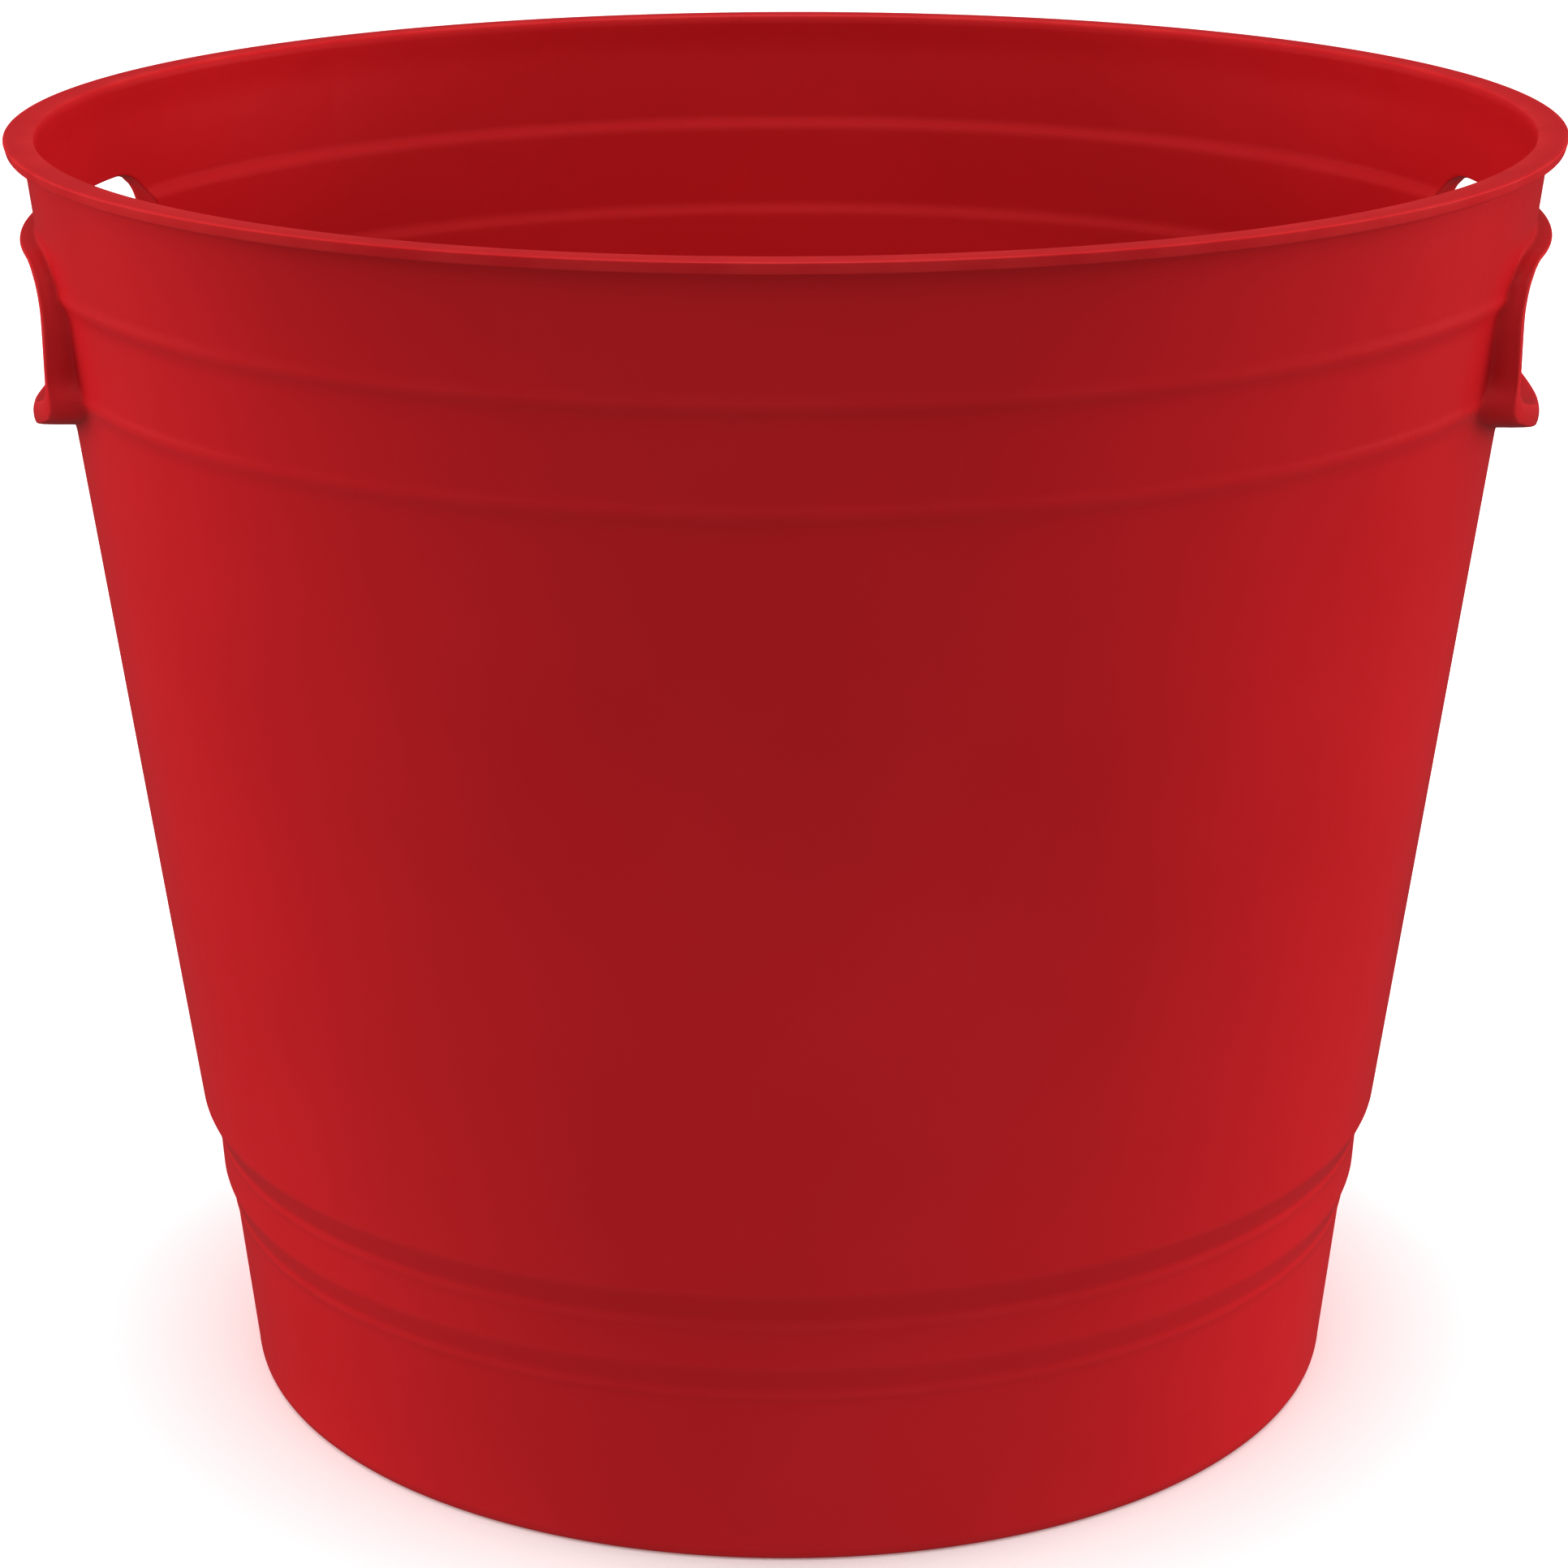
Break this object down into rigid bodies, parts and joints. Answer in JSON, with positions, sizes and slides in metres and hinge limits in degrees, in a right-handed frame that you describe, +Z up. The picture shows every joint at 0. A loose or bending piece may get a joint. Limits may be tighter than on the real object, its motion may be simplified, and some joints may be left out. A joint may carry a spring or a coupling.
{
  "type": "sand bucket",
  "caption": "Round tapered open-top bucket with a flat rim flange, stepped stacking bands and a collared hand hole on each side.",
  "frame": {"origin": "centre of the base, on the surface that the bucket stands on", "axes": "+Z up along the bucket's axis towards the open rim, hand holds on -X (left) and +X (right), -Y front"},
  "size_m": [0.28, 0.28, 0.237],
  "materials": {
    "red_plastic": "satin-gloss injection-moulded polypropylene, red all through"
  },
  "bodies": {
    "root": {"rim_flange": "red_plastic", "upper_wall": "red_plastic", "front_stacking_band": "red_plastic", "rear_stacking_band": "red_plastic", "main_wall": "red_plastic", "lower_band": "red_plastic", "foot_wall": "red_plastic", "floor_panel": "red_plastic", "foot_ring": "red_plastic", "gate_nub": "red_plastic", "left_hand_hold_shelf": "red_plastic", "left_hand_hold_front_cheek": "red_plastic", "left_hand_hold_rear_cheek": "red_plastic", "left_hand_hold_sill": "red_plastic", "right_hand_hold_shelf": "red_plastic", "right_hand_hold_front_cheek": "red_plastic", "right_hand_hold_rear_cheek": "red_plastic", "right_hand_hold_sill": "red_plastic"}
  },
  "joints": []
}
